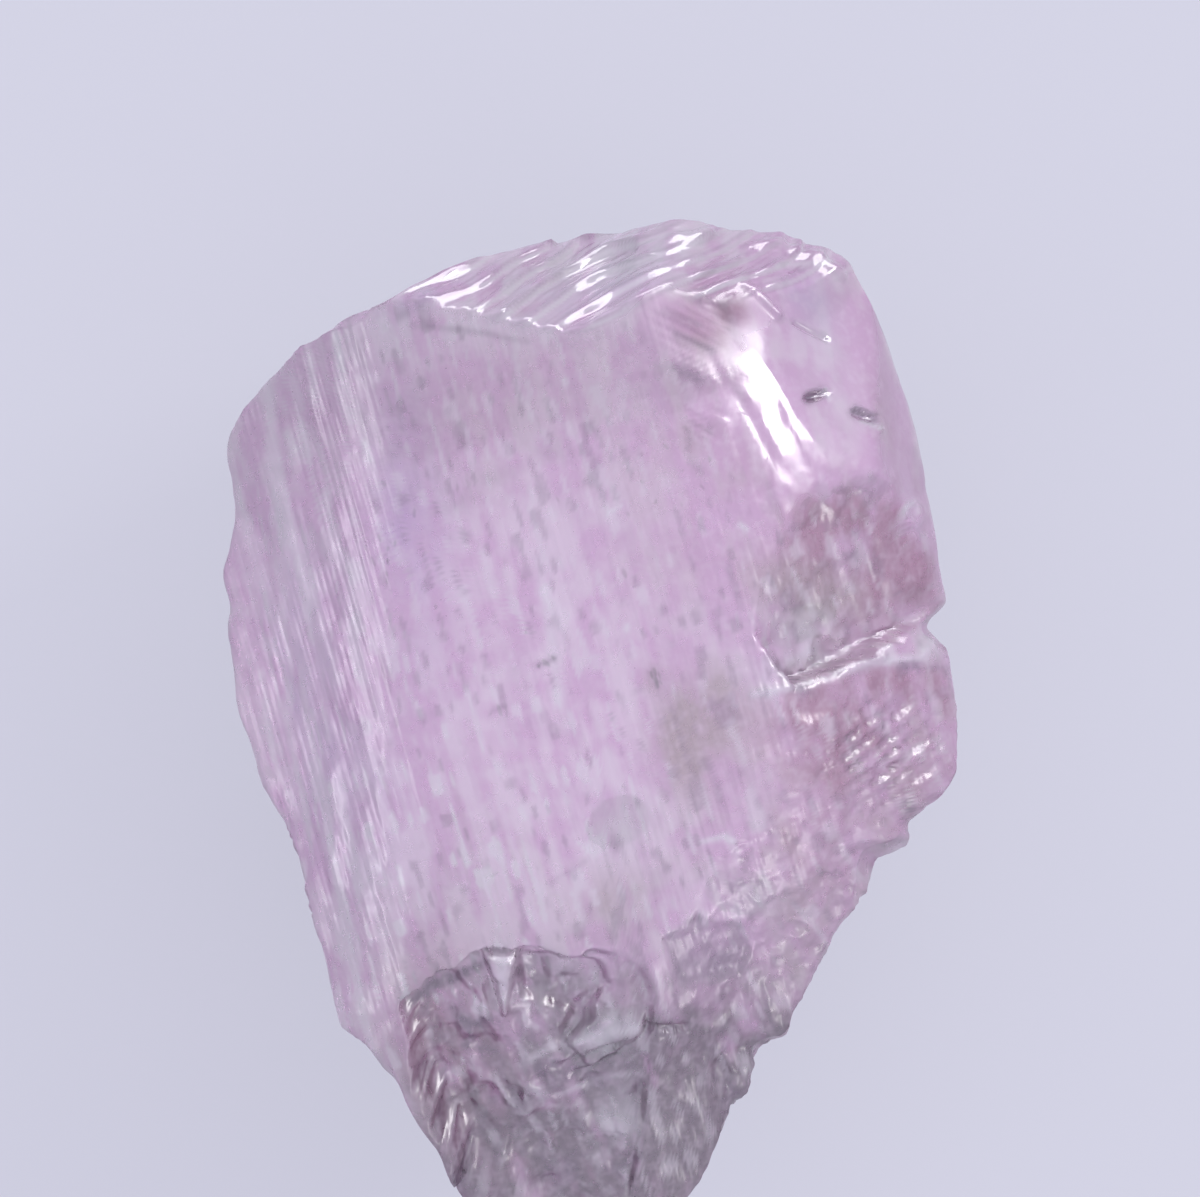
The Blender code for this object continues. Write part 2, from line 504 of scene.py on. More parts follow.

# Narrow dark places: painted shade in pits, grooves and comb lines, under edges and the
# ledge, and some real dark specks. Path, width and strength
SHADE_AND_SPECK_MARKS = (
    (((-0.71, -1.02), (-0.60, -0.96), (-0.41, -0.870)), 0.022, 0.85),
    (((-0.54, -1.05), (-0.47, -1.12), (-0.40, -1.10)), 0.026, 0.80),
    (((-0.49, -1.20), (-0.38, -1.22)), 0.020, 0.70),
    (((0.22, -1.145), (0.38, -1.14)), 0.010, 0.90),
    (((0.860, 1.352), (0.915, 1.378)), 0.022, 0.95),
    (((1.050, 1.305), (1.120, 1.275)), 0.020, 0.95),
    (((0.700, 0.340), (0.830, 0.190), (0.860, 0.200)), 0.022, 0.45),
    (((1.060, 0.340), (1.140, 0.330)), 0.024, 0.40),
    (((1.230, 0.300), (1.430, 0.285)), 0.014, 0.50),
    (((1.380, 0.560), (1.430, 0.500)), 0.012, 0.50),
    (((1.175, -0.400), (1.250, -0.395)), 0.014, 0.40),
    (((-0.160, -0.560), (-0.020, -0.470)), 0.012, 0.20),
    (((1.250, -0.240), (1.275, -0.275)), 0.014, 0.85),
    (((0.125, -1.690), (0.205, -1.650)), 0.014, 0.80),
    (((0.300, 1.690), (0.420, 1.640)), 0.018, 0.50),
    (((0.340, 1.600), (0.480, 1.540)), 0.018, 0.45),
    (((0.330, 1.470), (0.440, 1.420)), 0.018, 0.50),
    (((0.520, 1.740), (0.560, 1.640), (0.600, 1.560)), 0.030, 0.35),
    (((1.290, 1.160), (1.335, 1.000)), 0.018, 0.55),
    (((-0.700, 1.640), (-0.430, 1.610), (-0.250, 1.570)), 0.014, 0.30),
    (((-0.205, 0.300), (-0.140, 0.325)), 0.012, 0.55),
    (((-0.385, 0.125), (-0.340, 0.140)), 0.010, 0.50),
    (((0.240, 0.270), (0.262, 0.230)), 0.014, 0.50),
    (((0.300, -0.770), (0.420, -0.690), (0.590, -0.730)), 0.010, 0.40),
    (((-0.62, -1.62), (-0.50, -1.80), (-0.40, -1.95)), 0.050, 0.70),
)

# Narrow pale places, in the same form: mostly painted glints on pit edges, the curl,
# the gloss face's upper edge, the front and the broken end, with a few pale streaks
GLINTS_AND_PALE_STREAKS = (
    (((0.928, 1.388), (0.948, 1.350)), 0.010, 0.90),
    (((1.075, 1.264), (1.150, 1.238)), 0.010, 0.90),
    (((1.232, 0.880), (1.250, 0.925), (1.290, 0.945), (1.300, 0.905)), 0.012, 0.85),
    (((-0.197, 0.715), (-0.118, 0.164)), 0.022, 0.55),
    (((-0.890, 1.180), (-0.870, 1.110)), 0.012, 0.80),
    (((-1.200, 1.215), (-1.170, 1.150)), 0.014, 0.85),
    (((-0.099, 1.424), (-0.095, 1.405)), 0.012, 0.80),
    (((0.146, 0.455), (0.142, 0.440)), 0.014, 0.90),
    (((0.591, 0.853), (0.615, 0.835)), 0.012, 0.90),
    (((0.065, 0.900), (0.120, 0.925)), 0.010, 0.70),
    (((-0.040, -0.400), (0.020, -0.455)), 0.010, 0.90),
    (((0.440, -0.395), (0.520, -0.375), (0.565, -0.390)), 0.014, 0.75),
    (((-0.360, -0.840), (-0.340, -1.020)), 0.026, 0.70),
    (((-0.270, -1.280), (-0.160, -1.210), (0.200, -1.130)), 0.018, 0.70),
    (((-0.130, -1.400), (0.060, -1.330), (0.200, -1.310)), 0.012, 0.55),
    (((0.050, -1.490), (0.120, -1.540)), 0.030, 0.60),
    (((-0.240, -1.370), (-0.180, -1.400)), 0.020, 0.60),
    (((1.180, -0.470), (1.270, -0.380)), 0.012, 0.60),
    (((0.745, 1.880), (0.950, 1.900)), 0.014, 0.60),
)
# Colour of the painted highlights and glints, and of the pale streaks
HIGHLIGHT_AND_PALE_COLOUR = (1.0, 0.94, 0.99)

# Dark specks that stand out, then clusters by centre, spread and number
SPECKS = (
    (-0.169, 0.309),
    (-0.140, 0.330),
    (-0.355, 0.128),
    (0.248, 0.262),
    (0.262, 0.235),
    (-0.815, 1.020),
    (-0.690, 0.900),
    (-0.850, 0.700),
    (1.269, -0.266),
    (0.14, 0.66),
)
SPECK_CLUSTERS = (
    ((-0.81, 1.30), (0.05, 0.24), 26),
    ((-0.82, 0.72), (0.04, 0.10), 12),
    ((-0.45, 1.20), (0.16, 0.14), 20),
    ((-0.17, 0.31), (0.05, 0.02), 5),
    ((0.25, 0.25), (0.03, 0.03), 6),
    ((-0.45, -1.13), (0.07, 0.07), 12),
    ((0.16, -1.66), (0.05, 0.03), 4),
    ((0.30, 1.05), (0.20, 0.20), 10),
    ((0.05, -1.45), (0.40, 0.20), 14),
)

# Healed cracks: place in plan, depth, half-sizes, turn in plan, tilt about the length
FEATHERS = (
    ((0.11, -0.32), 0.10, (0.13, 0.10), 20.0, 12.0),
    ((0.60, -0.60), 0.08, (0.15, 0.09), -15.0, -10.0),
    ((0.85, 0.45), 0.13, (0.20, 0.09), 10.0, -10.0),
    ((0.05, -1.22), 0.20, (0.13, 0.07), 30.0, 6.0),
)

# Softboxes: name, azimuth, elevation, distance, width, height (m), power (W), colour
SOFTBOXES = (
    ("ridge light", 28.0, 37.0, 0.50, 0.15, 0.15, 0.50, (1.0, 0.99, 0.98)),
    ("end light", 66.0, 18.0, 0.50, 0.60, 0.26, 1.30, (0.97, 0.98, 1.0)),
    ("side light", 185.0, 20.0, 0.50, 0.16, 0.10, 0.12, (0.98, 0.97, 1.0)),
    ("right light", -38.0, 24.0, 0.50, 0.13, 0.11, 0.12, (1.0, 0.98, 0.97)),
)
FLOOR_SIDE = 1.6
VIEW_CENTRE = (0.039, 0.563, 2.15)


# Numbers on arrays


def smooth_step(x, low, high):
    """0 below low, 1 above high, and a smooth S between (3t2 - 2t3)."""
    t = np.clip((x - low) / (high - low), 0.0, 1.0)
    return t * t * (3.0 - 2.0 * t)


def direction(azimuth, elevation):
    """The unit vector that points this way, both angles in degrees."""
    a = math.radians(azimuth)
    e = math.radians(elevation)
    return np.array(
        (math.cos(a) * math.cos(e), math.sin(a) * math.cos(e), math.sin(e))
    )


def unit(vectors):
    """Each row at length one."""
    return vectors / np.linalg.norm(vectors, axis=1, keepdims=True)


def lattice(cell, seed):
    """A fixed random number from 0 to 1 for each whole-number cell (a sine hash)."""
    mixed = cell @ np.array((127.1, 311.7, 74.7)) + seed * 53.9
    return np.modf(np.abs(np.sin(mixed) * 43758.5453))[0]


def grain(points, size, seed):
    """Smooth noise from -1 to 1: lattice numbers a size apart, eased between (quintic)."""
    scaled = points / size
    base = np.floor(scaled)
    f = scaled - base
    f = f * f * f * (f * (f * 6.0 - 15.0) + 10.0)
    total = np.zeros(len(points))
    for corner in np.ndindex(2, 2, 2):
        step = np.array(corner, dtype=float)
        weight = np.prod(np.where(step > 0, f, 1.0 - f), axis=1)
        total += weight * lattice(base + step, seed)
    return 2.0 * total - 1.0


def cloud(points, size, octaves, seed):
    """Several layers of grain, each half the size and half the strength of the last."""
    total = np.zeros(len(points))
    strength = 1.0
    whole = 0.0
    for layer in range(octaves):
        total += strength * grain(points, size / 2**layer, seed + layer)
        whole += strength
        strength *= 0.5
    return total / whole


def shells(points, size, seed):
    """Squared distance to the nearest of one scattered centre a cell: bowls with sharp rims."""
    scaled = points / size
    base = np.floor(scaled)
    nearest = np.full(len(points), 9.0)
    for shift in np.ndindex(3, 3, 3):
        cell = base + np.array(shift, dtype=float) - 1.0
        centre = np.stack([lattice(cell, seed + k) for k in range(3)], axis=1) + cell
        nearest = np.minimum(nearest, ((scaled - centre) ** 2).sum(axis=1))
    return nearest


def outline_distance(points, outline):
    """Distance in plan to a closed outline, negative inside (nearest edge, crossing sign)."""
    corners = np.array(outline)
    nearest = np.full(len(points), 9.0)
    inside = np.zeros(len(points), dtype=bool)
    for i, end in enumerate(corners):
        start = corners[i - 1]
        edge = end - start
        along = points[:, :2] - start
        share = np.clip(along @ edge / (edge @ edge), 0.0, 1.0)
        gap = along - share[:, None] * edge
        nearest = np.minimum(nearest, np.hypot(gap[:, 0], gap[:, 1]))
        spans = (points[:, 1] >= start[1]) != (points[:, 1] >= end[1])
        if abs(edge[1]) > 1e-9:
            crossing = start[0] + (points[:, 1] - start[1]) * edge[0] / edge[1]
            inside ^= spans & (points[:, 0] < crossing)
    return np.where(inside, -nearest, nearest)


# The crystal's planes


def plane_height(x, y, azimuth, elevation, point):
    """Height over x, y of the plane that holds the point and has this normal."""
    normal = direction(azimuth, elevation)
    along = normal[0] * (x - point[0]) + normal[1] * (y - point[1])
    return point[2] - along / normal[2]


def front_height(x, y):
    """Height of the front at this place: the lowest of the front faces' planes."""
    heights = [plane_height(x, y, *face[1:]) for face in FRONT_FACES]
    return np.minimum.reduce(heights)


def all_planes():
    """Names, outward normals and distances from the heart of every face and rim wall."""
    names = []
    normals = []
    distances = []
    for name, azimuth, elevation, point in FRONT_FACES + BACK_FACES:
        names.append(name)
        normals.append(direction(azimuth, elevation))
        distances.append(normals[-1] @ (np.array(point) - HEART))
    for i, (x, y, lean) in enumerate(OUTLINE):
        next_x, next_y, _ = OUTLINE[(i + 1) % len(OUTLINE)]
        outward = math.degrees(math.atan2(next_x - x, y - next_y))
        middle_x = (x + next_x) / 2
        middle_y = (y + next_y) / 2
        middle = np.array((middle_x, middle_y, front_height(middle_x, middle_y)))
        names.append(f"wall {i}")
        normals.append(direction(outward, -lean))
        distances.append(normals[-1] @ (middle - HEART))
    return names, np.array(normals), np.array(distances)


def reach(rays, normals, distances):
    """How far along each ray each plane is met; far away where it never is."""
    towards = rays @ normals.T
    return np.where(towards > 1e-4, distances / np.maximum(towards, 1e-4), 99.0)


# The grid of rays


def crowded(count, zones):
    """Places from -1 to 1, closer together in each zone (start, end, how many times closer)."""
    fine = np.linspace(-1.0, 1.0, 4001)
    density = np.ones_like(fine)
    for start, end, times in zones:
        inside = smooth_step(fine, start - 0.04, start + 0.04)
        inside *= 1.0 - smooth_step(fine, end - 0.04, end + 0.04)
        density += (times - 1.0) * inside
    total = np.concatenate([[0.0], np.cumsum((density[1:] + density[:-1]) / 2.0)])
    return np.interp(np.linspace(0.0, total[-1], count + 1), total, fine)


def outline_radius(angles):
    """Distance in plan from the heart to the outline, in each direction (nearest wall)."""
    rays = np.stack([np.cos(angles), np.sin(angles)], axis=-1)
    nearest = np.full(angles.shape, FAR)
    for i, (x, y, _) in enumerate(OUTLINE):
        next_x, next_y, _ = OUTLINE[(i + 1) % len(OUTLINE)]
        normal = np.array((y - next_y, next_x - x))
        normal /= np.hypot(*normal)
        towards = rays @ normal
        gap = normal @ (np.array((x, y)) - HEART[:2])
        met = np.where(towards > TINY, gap / np.maximum(towards, TINY), FAR)
        nearest = np.minimum(nearest, met)
    return nearest


def lid_points(across, along):
    """Points over the front: a square pushed outwards until its edge is the outline."""
    half = (np.array(CAD_HIGH) - np.array(CAD_LOW)) / (2 * MM)
    u, v = np.meshgrid(
        crowded(across, COLUMN_ZONES), crowded(along, ROW_ZONES), indexing="xy"
    )
    x = u * half[0]
    y = v * half[1]
    square = np.maximum(np.abs(u), np.abs(v))
    spread = outline_radius(np.arctan2(y, x)) / np.maximum(np.hypot(x, y), TINY)
    x = x * spread * square + HEART[0]
    y = y * spread * square + HEART[1]
    return np.stack([x, y, front_height(x, y)], axis=-1)


def belt_points(rim, t):
    """One ring below the rim: a curve that bends in from the outline to the rest face."""
    share = (1 - t) ** 2 + 2 * t * (1 - t) * BELT_BULGE + t**2 * BELT_FOOT
    ring = HEART + (rim - HEART) * share
    ring[:, 2] = (1 - t) ** 2 * rim[:, 2] + 2 * t * (1 - t) * BELT_KNEE
    return ring


def ray_grid():
    """Rays to every point of the surface and the faces that join them.

    The lid covers the front. The belt runs from its edge down to the rest face, with
    half as many columns below its upper rows, where five-sided faces join the two.
    """
    lid = lid_points(LID_COLUMNS, LID_ROWS)
    index = np.arange(lid[..., 0].size).reshape(lid.shape[:2])
    ring = np.concatenate(
        [index[0, :-1], index[:-1, -1], index[-1, :0:-1], index[:0:-1, 0]]
    )
    rim = lid.reshape(-1, 3)[ring]
    parts = [lid.reshape(-1, 3)]
    faces = [
        np.stack([index[:-1, :-1], index[:-1, 1:], index[1:, 1:], index[1:, :-1]], -1)
    ]
    count = index.size
    above = ring
    rows = UPPER_ROWS + LOWER_ROWS
    for row in range(1, rows + 1):
        edge = rim if row <= UPPER_ROWS else rim[::2]
        parts.append(belt_points(edge, row / rows))
        below = count + np.arange(len(edge))
        count += len(edge)
        if row == UPPER_ROWS + 1:
            faces.append(
                np.stack(
                    [
                        np.roll(above, -2)[::2],
                        above[1::2],
                        above[::2],
                        below,
                        np.roll(below, -1),
                    ],
                    axis=-1,
                )
            )
        else:
            after = np.roll(above, -1)
            faces.append(np.stack([after, above, below, np.roll(below, -1)], axis=-1))
        above = below
    rays = unit(np.vstack(parts) - HEART)
    faces = [block.reshape(-1, block.shape[-1]) for block in faces]
    return rays, faces, above[::-1][None, :]


# Where the rays meet the crystal


def cap_reach(rays, start):
    """Reach of the top cap, whose upper edge follows CAP_EDGE instead of one line.

    The plane's offset depends on where along X the ray meets it, so the ray is met
    with the plane again and again until both agree.
    """
    _, azimuth, elevation, point = next(face for face in FRONT_FACES if face[0] == "top cap")
    normal = direction(azimuth, elevation)
    towards = rays @ normal
    corners = np.array(CAP_EDGE)
    places = np.linspace(corners[0, 0], corners[-1, 0], 231)
    edges = np.interp(places, corners[:, 0], corners[:, 1])
    padded = np.pad(edges, CAP_ROUNDING, mode="edge")
    edges = np.convolve(padded, np.full(2 * CAP_ROUNDING + 1, 1 / (2 * CAP_ROUNDING + 1)), "valid")
    met = start
    for _ in range(CAP_ROUNDS):
        x = HEART[0] + rays[:, 0] * met
        edge = np.interp(x, places, edges)
        held = np.stack([x, edge, np.full(len(x), point[2])], axis=1)
        gap = (held - HEART) @ normal
        met = np.where(towards > TINY, gap / np.maximum(towards, TINY), FAR)
        met = np.minimum(met, FAR)
    return met


def soft_least(reaches, softness):
    """The least of several reaches, rounded where two are close (log of summed powers)."""
    nearest = reaches.min(axis=1, keepdims=True)
    weights = np.exp(-(reaches - nearest) / softness)
    total = weights.sum(axis=1, keepdims=True)
    return (nearest - softness * np.log(total))[:, 0], weights / total


def solid_surface():
    """The plain crystal on the ray grid, and how much each face counts at each point."""
    rays, faces, base = ray_grid()
    names, normals, distances = all_planes()
    meets = reach(rays, normals, distances)
    cap = names.index("top cap")
    meets[:, cap] = cap_reach(rays, meets.min(axis=1))
    worn = np.array([name in WORN_FACES for name in names])
    soft, soft_shares = soft_least(meets[:, worn], WORN_SOFTNESS)
    crisp = np.column_stack([soft, meets[:, ~worn]])
    surface, crisp_shares = soft_least(crisp, ARRIS_SOFTNESS)
    shares = dict(zip(np.array(names)[worn], (soft_shares * crisp_shares[:, :1]).T))
    shares.update(zip(np.array(names)[~worn], crisp_shares[:, 1:].T))
    for name, azimuth, elevation, point, outline in POCKETS:
        normal = direction(azimuth, elevation)[None, :]
        gap = np.array([normal[0] @ (np.array(point) - HEART)])
        floor = np.minimum(reach(rays, normal, gap)[:, 0], surface)
        places = HEART + rays * surface[:, None]
        edge = outline_distance(places, outline)
        edge += BREAK_RAGGED * cloud(places, 0.09, 3, 61)
        inside = 1.0 - smooth_step(edge, -BREAK_WALL, BREAK_WALL)
        above = places[:, 2] > RIM_FLOOR
        depth = (surface - floor) * inside * above
        shares[name] = inside * above * smooth_step(surface - floor, 0.0, 0.03)
        surface = surface - depth
    for name, centre, radius in SCOOPS:
        middle = np.array(centre) - HEART
        along = rays @ middle
        inside = along**2 - (middle @ middle - radius**2)
        entry = along - np.sqrt(np.maximum(inside, 0.0))
        entry = np.where((inside > 0) & (along > 0), entry, FAR)
        shares[name] = smooth_step(surface - entry, 0.0, 0.02)
        surface = np.minimum(surface, entry)
    return HEART + rays * surface[:, None], faces, base, shares


def fitted(points):
    """Stretches the points to the CAD model's box, in millimetres."""
    low = points.min(axis=0)
    high = points.max(axis=0)
    cad_low = np.array(CAD_LOW) / MM
    cad_high = np.array(CAD_HIGH) / MM
    return cad_low + (points - low) * (cad_high - cad_low) / (high - low)


def surface_normals(points, faces):
    """Unit normal at each point: the sum of its faces' diagonal cross products."""
    total = np.zeros_like(points)
    for block in faces:
        a, b, c, d = (points[block[:, i]] for i in range(4))
        crossed = np.cross(c - a, d - b)
        for corner in range(block.shape[1]):
            for axis in range(3):
                total[:, axis] += np.bincount(
                    block[:, corner], weights=crossed[:, axis], minlength=len(points)
                )
    return unit(total)


def to_silhouette(points):
    """Draws the rim in or out to SILHOUETTE, by angle in plan, fading towards the middle."""
    plan = points[:, :2] - HEART[:2]
    radius = np.hypot(plan[:, 0], plan[:, 1])
    angle = np.arctan2(plan[:, 1], plan[:, 0])
    part = ((angle / math.tau + 0.5) * RIM_PARTS).astype(int) % RIM_PARTS
    widest = np.zeros(RIM_PARTS)
    np.maximum.at(widest, part, radius)
    middle = ((np.arange(RIM_PARTS) + 0.5) / RIM_PARTS - 0.5) * math.tau
    corners = np.array(SILHOUETTE) - HEART[:2]
    turns = np.arctan2(corners[:, 1], corners[:, 0])
    wanted = np.interp(middle, turns, np.hypot(corners[:, 0], corners[:, 1]), period=math.tau)
    change = np.clip(wanted / widest, *RIM_CHANGE) - 1.0
    change = (np.roll(change, 1) + 2.0 * change + np.roll(change, -1)) / 4.0
    near = smooth_step(radius / np.interp(angle, middle, widest, period=math.tau), RIM_FADE, 1.0)
    share = np.interp(angle, middle, change, period=math.tau) * near
    points = points.copy()
    points[:, :2] = HEART[:2] + plan * (1.0 + share)[:, None]
    return points


# The relief of the faces


def drawn(points, angle, width, length, seed, octaves=2):
    """Noise drawn out along lines: its cells are long along the angle and narrow across."""
    a = math.radians(angle)
    along = math.cos(a) * points[:, 0] + math.sin(a) * points[:, 1]
    across = math.cos(a) * points[:, 1] - math.sin(a) * points[:, 0]
    across = across + LINE_TILT * points[:, 2]
    cells = np.stack([across / width, along / length, points[:, 2] / length], axis=1)
    return cloud(cells, 1.0, octaves, seed)


def crests(noise):
    """Sharp crests where smooth noise passes zero, 1 at the crest."""
    return 1.0 - 2.0 * np.abs(noise)


def steps(points, angle, spacing, wander, seed):
    """Which of a row of lines each point lies in, and how far across it, from 0 to 1."""
    a = math.radians(angle)
    across = math.cos(a) * points[:, 1] - math.sin(a) * points[:, 0]
    phase = across / spacing + wander * cloud(points, 0.45, 2, seed)
    step = np.floor(phase)
    return step, phase - step


def terraces(points, angle, spacing, wander, tread, seed):
    """Steps: across the lines the height climbs along each tread and drops at its end."""
    step, part = steps(points, angle, spacing, wander, seed)
    climb = np.where(part < tread, part / tread, (1.0 - part) / (1.0 - tread))
    cells = np.stack([step, np.zeros_like(step), np.zeros_like(step)], axis=1)
    return climb * (0.55 + 0.45 * lattice(cells, seed))


def turned(points, centre, turn):
    """Distances from a place in plan, along and across a line turned by degrees."""
    a = math.radians(turn)
    x = points[:, 0] - centre[0]
    y = points[:, 1] - centre[1]
    return math.cos(a) * x + math.sin(a) * y, math.cos(a) * y - math.sin(a) * x


def spot(points, centre, size, turn=0.0):
    """A soft oval: 1 at its centre, fading out past its two half-sizes (a Gaussian)."""
    along, across = turned(points, centre, turn)
    return np.exp(-((along / size[0]) ** 2) - (across / size[1]) ** 2)


def dent(points, centre, size, turn, skew=0.0):
    """A hollow with a crisp oval rim, deepest towards one side: 1 at its deepest."""
    along, across = turned(points, centre, turn)
    q = (along / size[0]) ** 2 + (across / size[1]) ** 2
    return np.clip(1.0 - q, 0.0, 1.0) * (1.0 + skew * across / size[1])


def stroke(points, path, width):
    """A soft line through the points of a path: 1 on it, fading over its width."""
    nearest = np.full(len(points), FAR)
    for start, end in zip(np.array(path[:-1]), np.array(path[1:])):
        edge = end - start
        along = points[:, :2] - start
        share = np.clip(along @ edge / (edge @ edge), 0.0, 1.0)
        gap = along - share[:, None] * edge
        nearest = np.minimum(nearest, np.hypot(gap[:, 0], gap[:, 1]))
    return np.exp(-((nearest / width) ** 2))


def strokes(points, marks):
    """The sum of several soft lines, each with its own width and strength."""
    return sum(power * stroke(points, path, width) for path, width, power in marks)


def patch(points, outline, edge=0.015):
    """1 inside an outline and 0 outside, with an edge that fades both ways."""
    return 1.0 - smooth_step(outline_distance(points, outline), -edge, edge)


def face_masks(points, shares):
    """Where each kind of growth or break shows, from 0 to 1."""
    x, y, z = points.T
    front = smooth_step(z, 1.35, 1.75)
    tail = smooth_step(x, 0.42, 0.60) * (1.0 - smooth_step(y, -1.24, -1.12)) * front
    end = np.maximum(shares["broken end"], tail)
    side = (1.0 - smooth_step(x + 0.06 * y, -0.95, -0.72)) * (1.0 - end)
    cap = shares["top cap"] + shares["cap shoulder"]
    gloss = shares["upper right gloss"] + shares["gloss ridge"]
    gloss = gloss + shares["upper right edge"]
    gloss = np.clip(gloss, 0.0, 1.0) * smooth_step(y, 0.78, 0.92)
    chips = sum(shares[name] for name, _, _ in SCOOPS)
    low_right = smooth_step(x - 0.25 * y, 0.45, 0.75) * (1.0 - smooth_step(y, -0.5, -0.1))
    return {
        "front": front,
        "side": side,
        "cap": np.clip(cap, 0.0, 1.0),
        "gloss": gloss,
        "ridge": shares["gloss ridge"],
        "pocket": shares["right middle"],
        "block": spot(points, (1.12, -0.02), (0.36, 0.30)) * front,
        "end": end,
        "chips": np.clip(chips, 0.0, 1.0),
        "low right": low_right,
        "back": 1.0 - smooth_step(z, 0.9, 1.3),
        "level": 1.0 - smooth_step(z, 0.004, 0.05),
    }


def growth_lines(points, masks):
    """Fine upright lines: strong on the left side, faint over the front."""
    x, y, _ = points.T
    wander = points + 0.03 * cloud(points, 0.5, 2, 3)[:, None]
    coarse = crests(drawn(wander, GROWTH_ANGLE, 0.120, 0.50, 5))
    fine = crests(drawn(wander, GROWTH_ANGLE - 2.0, 0.038, 0.22, 9))
    lower = (1.0 - smooth_step(y, -0.1, 0.35)) * smooth_step(-x, -0.25, 0.3)
    right = smooth_step(x, 0.45, 0.80) * (1.0 - smooth_step(y, 0.2, 0.6))
    fade = smooth_step(cloud(points, 0.22, 3, 12), -0.30, 0.40) * (1.0 - 0.85 * right)
    fade = 0.12 + 0.88 * fade
    strength = 0.0026 * masks["front"] + 0.0120 * masks["side"] + 0.0060 * lower
    strength = strength * fade * (1.0 - masks["cap"]) * (1.0 - masks["gloss"])
    return strength * (0.85 * coarse + 0.15 * fine) * (1.0 - masks["end"])


def cap_steps(points, masks):
    """Growth steps on the blunt end: narrow treads that catch light, and steep risers."""
    wide = terraces(points, CAP_ANGLE, CAP_SPACING, 0.8, 0.26, 21)
    thin = terraces(points, CAP_ANGLE + 5.0, 0.034, 0.7, 0.45, 22)
    return masks["cap"] * (0.037 * wide * cap_broken(points) + 0.005 * thin)


def cap_broken(points):
    """How strong the blunt end's steps are from place to place."""
    return 0.25 + 0.75 * smooth_step(drawn(points, CAP_ANGLE, 0.08, 0.45, 23), -0.45, 0.25)


def cap_bands(points):
    """Painted highlight on the treads of the blunt end's steps, and painted shade at the foot of each."""
    _, part = steps(points, CAP_ANGLE, CAP_SPACING, 0.8, 21)
    tread = smooth_step(part, 0.0, 0.08) * (1.0 - smooth_step(part, 0.22, 0.32))
    foot = smooth_step(part, 0.30, 0.38) * (1.0 - smooth_step(part, 0.46, 0.64))
    strength = cap_broken(points)
    return tread * strength, foot * strength


def gloss_relief(points, masks):
    """The glossy corner: parallel crests down its ridge, combs, pits and a curl."""
    crest = crests(drawn(points, RIDGE_ANGLE, 0.060, 0.36, 31))
    height = 0.0040 * masks["ridge"] * crest
    height += 0.006 * masks["gloss"] * grain(points, 0.32, 33)
    height += 0.002 * masks["gloss"] * drawn(points, -75, 0.10, 1.0, 34)
    for centre, size in COMBS:
        comb = terraces(points, -27.0, 0.036, 0.25, 0.55, 35)
        height += 0.012 * spot(points, centre, size) * comb
    for centre, size, turn, depth in PITS:
        height -= depth * dent(points, centre, size, turn, 0.6)
    for path, width, rise in SCRATCHES:
        height += rise * stroke(points, path, width)
    height -= 0.034 * spot(points, (0.48, 1.70), (0.17, 0.09), -35.0)
    ring = np.hypot(points[:, 0] - CURL[0], points[:, 1] - CURL[1])
    height += 0.014 * np.exp(-(((ring - 0.045) / 0.014) ** 2))
    return height


def right_relief(points, masks):
    """The darker hollow on the right, the ledge under it and the pitted block below."""
    ribs = crests(drawn(points, -80.0, 0.060, 0.24, 41))
    height = masks["pocket"] * (0.010 * ribs + 0.022 * cloud(points, 0.16, 3, 42))
    height += 0.010 * stroke(points, LEDGE, 0.014) * masks["front"]
    height += masks["block"] * (0.022 * crests(cloud(points, 0.13, 3, 44)))
    crinkles = spot(points, (0.84, 0.36), (0.20, 0.12), 10.0) + 0.5 * masks["low right"]
    height += 0.014 * crinkles * crests(cloud(points, 0.075, 2, 45)) * masks["front"]
    return height - 0.030 * etched(points)


def etched(points):
    """Rows of small square pits on the block, 1 in each pit (two crossed cosines)."""
    along, across = turned(points, (1.21, -0.03), -12.0)
    rows = np.cos(along * math.tau / 0.066) * np.cos(across * math.tau / 0.078)
    spread = spot(points, (1.19, -0.03), (0.19, 0.20)) * (0.7 + 0.5 * grain(points, 0.08, 43))
    return np.clip(spread, 0.0, 1.0) * smooth_step(rows, 0.10, 0.7)


def break_relief(points, masks):
    """Shell-shaped fracture: bowls within bowls, on the broken end and the chips."""
    wide = 0.7 - np.clip(shells(points, 0.34, 51), 0.0, 1.0)
    middle = 0.7 - np.clip(shells(points, 0.15, 54), 0.0, 1.0)
    small = 0.7 - np.clip(shells(points, 0.062, 57), 0.0, 1.0)
    ribs = crests(drawn(points, -78.0, 0.05, 0.25, 58))
    left = 1.0 - smooth_step(points[:, 0], -0.42, -0.22)
    height = -masks["end"] * (0.042 * wide + 0.034 * middle + 0.020 * small)
    height += masks["end"] * (0.003 * left * ribs + 0.014 * crests(cloud(points, 0.10, 2, 59)))
    rough = np.clip(masks["low right"] * (1 - masks["end"]) + masks["chips"], 0, 1)
    height -= rough * (0.020 * wide + 0.010 * middle + 0.003 * small)
    for outline, rise in SPLINTERS:
        height += rise * patch(points, outline, 0.018) * masks["front"]
    return height


def back_relief(points, masks):
    """Low growth steps and small three-sided pits on the faces that are turned away."""
    steps = terraces(points, 20.0, 0.16, 1.4, 0.7, 71)
    size = 0.24
    base = np.floor(points[:, :2] / size)
    cell = np.column_stack([base, np.floor(points[:, 2] / 0.8)])
    middle = (base + 0.3 + 0.4 * np.stack([lattice(cell, 72), lattice(cell, 73)], 1)) * size
    gap = points[:, :2] - middle
    sides = [gap @ direction(90 + 120 * k, 0)[:2] for k in range(3)]
    reach_out = 0.02 + 0.05 * lattice(cell, 74)
    pit = np.clip(1.0 - np.maximum.reduce(sides) / reach_out, 0.0, 1.0)
    swell = cloud(points, 0.7, 2, 75)
    return masks["back"] * (0.012 * steps - 0.010 * pit + 0.020 * swell)


